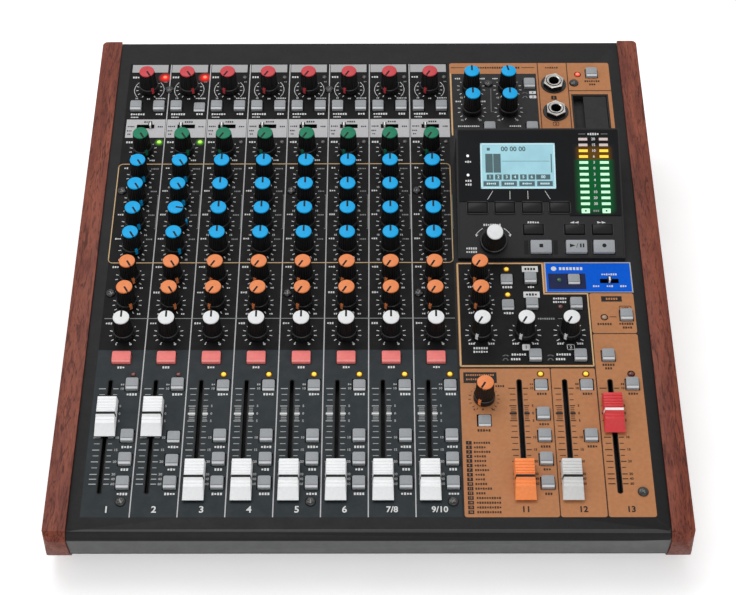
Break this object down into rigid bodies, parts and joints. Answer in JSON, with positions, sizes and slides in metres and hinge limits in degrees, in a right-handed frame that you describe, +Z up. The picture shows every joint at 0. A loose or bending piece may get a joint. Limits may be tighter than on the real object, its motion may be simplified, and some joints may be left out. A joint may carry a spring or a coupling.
{
  "type": "digital mixer recorder",
  "caption": "Compact mixing desk with recorder: sloping deck of knobs, faders and buttons between wood cheeks, with a raised display panel.",
  "frame": {"origin": "on the table under the middle of the desk", "axes": "+X to the user's right, +Y away from the user, +Z up"},
  "size_m": [0.343, 0.3604, 0.0999],
  "materials": {
    "wood": "satin",
    "deck_paint": "satin",
    "case_paint": "satin",
    "housing_plastic": "satin",
    "window": "gloss",
    "screen": "gloss",
    "board": "satin",
    "pot_steel": "satin",
    "socket_plastic": "satin",
    "jack_chrome": "polished",
    "recess_plastic": "satin",
    "rubber": "matt",
    "screw_black": "satin",
    "light_lens": "gloss",
    "knob_plastic": "satin",
    "button_plastic": "satin",
    "record_plastic": "satin",
    "key_plastic": "satin",
    "switch_white": "satin",
    "rocker_black": "satin",
    "cover_plastic": "satin",
    "fader_white": "satin",
    "fader_orange": "satin",
    "fader_grey": "satin",
    "fader_red": "satin"
  },
  "bodies": {
    "case": {"bottom_case": "case_paint", "card_recess": "recess_plastic", "circuit_boards": "board", "display_housing": "housing_plastic", "display_window": "window", "equaliser_knobs": "knob_plastic", "gain_and_compressor_knobs": "knob_plastic", "headphone_jacks": "jack_chrome", "indicator_lights": "light_lens", "lcd_screen": "screen", "left_cheek": "wood", "panel_screws": "screw_black", "potentiometers": "pot_steel", "rear_sockets": "socket_plastic", "right_cheek": "wood", "rubber_feet": "rubber", "send_and_pan_knobs": "knob_plastic", "top_panel": "deck_paint"},
    "gain_knob": {"gain_knob": "knob_plastic"},
    "compressor_knob": {"compressor_knob": "knob_plastic"},
    "treble_knob": {"treble_knob": "knob_plastic"},
    "middle_knob": {"middle_knob": "knob_plastic"},
    "middle_tune_knob": {"middle_tune_knob": "knob_plastic"},
    "bass_knob": {"bass_knob": "knob_plastic"},
    "send_a_knob": {"send_a_knob": "knob_plastic"},
    "send_b_knob": {"send_b_knob": "knob_plastic"},
    "pan_knob": {"pan_knob": "knob_plastic"},
    "main_treble_knob": {"main_treble_knob": "knob_plastic"},
    "main_bass_knob": {"main_bass_knob": "knob_plastic"},
    "main_middle_knob": {"main_middle_knob": "knob_plastic"},
    "main_tune_knob": {"main_tune_knob": "knob_plastic"},
    "send_a_master_knob": {"send_a_master_knob": "knob_plastic"},
    "send_b_master_knob": {"send_b_master_knob": "knob_plastic"},
    "monitor_knob": {"monitor_knob": "knob_plastic"},
    "headphone_knob_1": {"headphone_knob_1": "knob_plastic"},
    "headphone_knob_2": {"headphone_knob_2": "knob_plastic"},
    "effect_knob": {"effect_knob": "knob_plastic"},
    "jog_dial": {"jog_dial": "knob_plastic"},
    "fader_1": {"fader_1": "fader_white"},
    "fader_2": {"fader_2": "fader_white"},
    "fader_3": {"fader_3": "fader_white"},
    "fader_4": {"fader_4": "fader_white"},
    "fader_5": {"fader_5": "fader_white"},
    "fader_6": {"fader_6": "fader_white"},
    "fader_7": {"fader_7": "fader_white"},
    "fader_8": {"fader_8": "fader_white"},
    "fader_effect": {"fader_effect": "fader_orange"},
    "fader_sub": {"fader_sub": "fader_grey"},
    "fader_main": {"fader_main": "fader_red"},
    "upper_buttons": {"upper_buttons": "button_plastic"},
    "record_buttons": {"record_buttons": "record_plastic"},
    "fader_buttons": {"fader_buttons": "button_plastic"},
    "master_buttons": {"master_buttons": "button_plastic"},
    "latched_buttons": {"latched_buttons": "button_plastic"},
    "display_keys": {"display_keys": "key_plastic"},
    "mode_switch_1": {"mode_switch_1": "switch_white"},
    "mode_switches": {"mode_switches": "switch_white"},
    "assign_switch": {"assign_switch": "switch_white"},
    "power_switch": {"power_switch": "rocker_black"},
    "card_cover": {"card_cover": "cover_plastic"}
  },
  "joints": [
    {"name": "gain_knob_turn", "type": "hinge", "parent": "case", "child": "gain_knob", "pos_m": [-0.13887, 0.1398, 0.08159], "axis": [0, -0.1461, 0.9893], "range_deg": [0, 300]},
    {"name": "compressor_knob_turn", "type": "hinge", "parent": "case", "child": "compressor_knob", "pos_m": [-0.13887, 0.08866, 0.07404], "axis": [0, -0.1461, 0.9893], "range_deg": [0, 300]},
    {"name": "treble_knob_turn", "type": "hinge", "parent": "case", "child": "treble_knob", "pos_m": [-0.13887, 0.06729, 0.07089], "axis": [0, -0.1461, 0.9893], "range_deg": [0, 300]},
    {"name": "middle_knob_turn", "type": "hinge", "parent": "case", "child": "middle_knob", "pos_m": [-0.13887, 0.04894, 0.06817], "axis": [0, -0.1461, 0.9893], "range_deg": [0, 300]},
    {"name": "middle_tune_knob_turn", "type": "hinge", "parent": "case", "child": "middle_tune_knob", "pos_m": [-0.13887, 0.03059, 0.06547], "axis": [0, -0.1461, 0.9893], "range_deg": [0, 300]},
    {"name": "bass_knob_turn", "type": "hinge", "parent": "case", "child": "bass_knob", "pos_m": [-0.13887, 0.01224, 0.06276], "axis": [0, -0.1461, 0.9893], "range_deg": [0, 300]},
    {"name": "send_a_knob_turn", "type": "hinge", "parent": "case", "child": "send_a_knob", "pos_m": [-0.13887, -0.00913, 0.0596], "axis": [0, -0.1461, 0.9893], "range_deg": [0, 300]},
    {"name": "send_b_knob_turn", "type": "hinge", "parent": "case", "child": "send_b_knob", "pos_m": [-0.13887, -0.02763, 0.05687], "axis": [0, -0.1461, 0.9893], "range_deg": [0, 300]},
    {"name": "pan_knob_turn", "type": "hinge", "parent": "case", "child": "pan_knob", "pos_m": [-0.13887, -0.049, 0.05371], "axis": [0, -0.1461, 0.9893], "range_deg": [-150, 150]},
    {"name": "main_treble_knob_turn", "type": "hinge", "parent": "case", "child": "main_treble_knob", "pos_m": [0.0639, 0.1398, 0.08159], "axis": [0, -0.1461, 0.9893], "range_deg": [-150, 150]},
    {"name": "main_bass_knob_turn", "type": "hinge", "parent": "case", "child": "main_bass_knob", "pos_m": [0.0639, 0.12091, 0.0788], "axis": [0, -0.1461, 0.9893], "range_deg": [-150, 150]},
    {"name": "main_middle_knob_turn", "type": "hinge", "parent": "case", "child": "main_middle_knob", "pos_m": [0.08705, 0.1398, 0.08159], "axis": [0, -0.1461, 0.9893], "range_deg": [-162, 138]},
    {"name": "main_tune_knob_turn", "type": "hinge", "parent": "case", "child": "main_tune_knob", "pos_m": [0.08705, 0.12091, 0.0788], "axis": [0, -0.1461, 0.9893], "range_deg": [-150, 150]},
    {"name": "send_a_master_knob_turn", "type": "hinge", "parent": "case", "child": "send_a_master_knob", "pos_m": [0.0636, -0.00913, 0.0596], "axis": [0, -0.1461, 0.9893], "range_deg": [-300, 0]},
    {"name": "send_b_master_knob_turn", "type": "hinge", "parent": "case", "child": "send_b_master_knob", "pos_m": [0.0636, -0.02763, 0.05687], "axis": [0, -0.1461, 0.9893], "range_deg": [-300, 0]},
    {"name": "monitor_knob_turn", "type": "hinge", "parent": "case", "child": "monitor_knob", "pos_m": [0.0636, -0.049, 0.05371], "axis": [0, -0.1461, 0.9893], "range_deg": [-300, 0]},
    {"name": "headphone_knob_1_turn", "type": "hinge", "parent": "case", "child": "headphone_knob_1", "pos_m": [0.08865, -0.049, 0.05371], "axis": [0, -0.1461, 0.9893], "range_deg": [-300, 0]},
    {"name": "headphone_knob_2_turn", "type": "hinge", "parent": "case", "child": "headphone_knob_2", "pos_m": [0.1139, -0.049, 0.05371], "axis": [0, -0.1461, 0.9893], "range_deg": [-300, 0]},
    {"name": "effect_knob_turn", "type": "hinge", "parent": "case", "child": "effect_knob", "pos_m": [0.0636, -0.09292, 0.04723], "axis": [0, -0.1461, 0.9893], "range_deg": [-300, 0]},
    {"name": "jog_dial_turn", "type": "hinge", "parent": "case", "child": "jog_dial", "pos_m": [0.073, 0.01229, 0.06795], "axis": [0, -0.4399, 0.898], "continuous": true},
    {"name": "fader_1_slide", "type": "slide", "parent": "case", "child": "fader_1", "axis": [0, 0.9893, 0.1461], "range_m": [-0.0403, 0.0197]},
    {"name": "fader_2_slide", "type": "slide", "parent": "case", "child": "fader_2", "axis": [0, 0.9893, 0.1461], "range_m": [-0.0403, 0.0197]},
    {"name": "fader_3_slide", "type": "slide", "parent": "case", "child": "fader_3", "axis": [0, 0.9893, 0.1461], "range_m": [0, 0.06]},
    {"name": "fader_4_slide", "type": "slide", "parent": "case", "child": "fader_4", "axis": [0, 0.9893, 0.1461], "range_m": [0, 0.06]},
    {"name": "fader_5_slide", "type": "slide", "parent": "case", "child": "fader_5", "axis": [0, 0.9893, 0.1461], "range_m": [0, 0.06]},
    {"name": "fader_6_slide", "type": "slide", "parent": "case", "child": "fader_6", "axis": [0, 0.9893, 0.1461], "range_m": [0, 0.06]},
    {"name": "fader_7_slide", "type": "slide", "parent": "case", "child": "fader_7", "axis": [0, 0.9893, 0.1461], "range_m": [0, 0.06]},
    {"name": "fader_8_slide", "type": "slide", "parent": "case", "child": "fader_8", "axis": [0, 0.9893, 0.1461], "range_m": [0, 0.06]},
    {"name": "fader_effect_slide", "type": "slide", "parent": "case", "child": "fader_effect", "axis": [0, 0.9893, 0.1461], "range_m": [0, 0.06]},
    {"name": "fader_sub_slide", "type": "slide", "parent": "case", "child": "fader_sub", "axis": [0, 0.9893, 0.1461], "range_m": [0, 0.06]},
    {"name": "fader_main_slide", "type": "slide", "parent": "case", "child": "fader_main", "axis": [0, 0.9893, 0.1461], "range_m": [-0.0424, 0.0176]},
    {"name": "upper_buttons_press", "type": "slide", "parent": "case", "child": "upper_buttons", "axis": [0, -0.1461, 0.9893], "range_m": [-0.0025, 0], "stiffness_N_per_m": 400, "springref_m": 0.002},
    {"name": "record_buttons_press", "type": "slide", "parent": "case", "child": "record_buttons", "axis": [0, -0.1461, 0.9893], "range_m": [-0.0025, 0], "stiffness_N_per_m": 400, "springref_m": 0.002},
    {"name": "fader_buttons_press", "type": "slide", "parent": "case", "child": "fader_buttons", "axis": [0, -0.1461, 0.9893], "range_m": [-0.0025, 0], "stiffness_N_per_m": 400, "springref_m": 0.002},
    {"name": "master_buttons_press", "type": "slide", "parent": "case", "child": "master_buttons", "axis": [0, -0.1461, 0.9893], "range_m": [-0.0025, 0], "stiffness_N_per_m": 400, "springref_m": 0.002},
    {"name": "latched_buttons_release", "type": "slide", "parent": "case", "child": "latched_buttons", "axis": [0, -0.1461, 0.9893], "range_m": [0, 0.0022]},
    {"name": "display_keys_press", "type": "slide", "parent": "case", "child": "display_keys", "axis": [0, -0.4399, 0.898], "range_m": [-0.0008, 0], "stiffness_N_per_m": 600, "springref_m": 0.001},
    {"name": "mode_switch_1_slide", "type": "slide", "parent": "case", "child": "mode_switch_1", "axis": [1, 0, 0], "range_m": [-0.0063, 0]},
    {"name": "mode_switches_slide", "type": "slide", "parent": "case", "child": "mode_switches", "axis": [1, 0, 0], "range_m": [0, 0.0063]},
    {"name": "assign_switch_slide", "type": "slide", "parent": "case", "child": "assign_switch", "axis": [1, 0, 0], "range_m": [-0.0031, 0.0031]},
    {"name": "power_switch_rock", "type": "hinge", "parent": "case", "child": "power_switch", "pos_m": [0.128, 0.17522, 0.058], "axis": [1, 0, 0], "range_deg": [0, 9]},
    {"name": "card_cover_hinge", "type": "hinge", "parent": "case", "child": "card_cover", "pos_m": [0.1472, 0.11968, 0.07721], "axis": [0, 0.9893, 0.1461], "range_deg": [0, 100]}
  ]
}
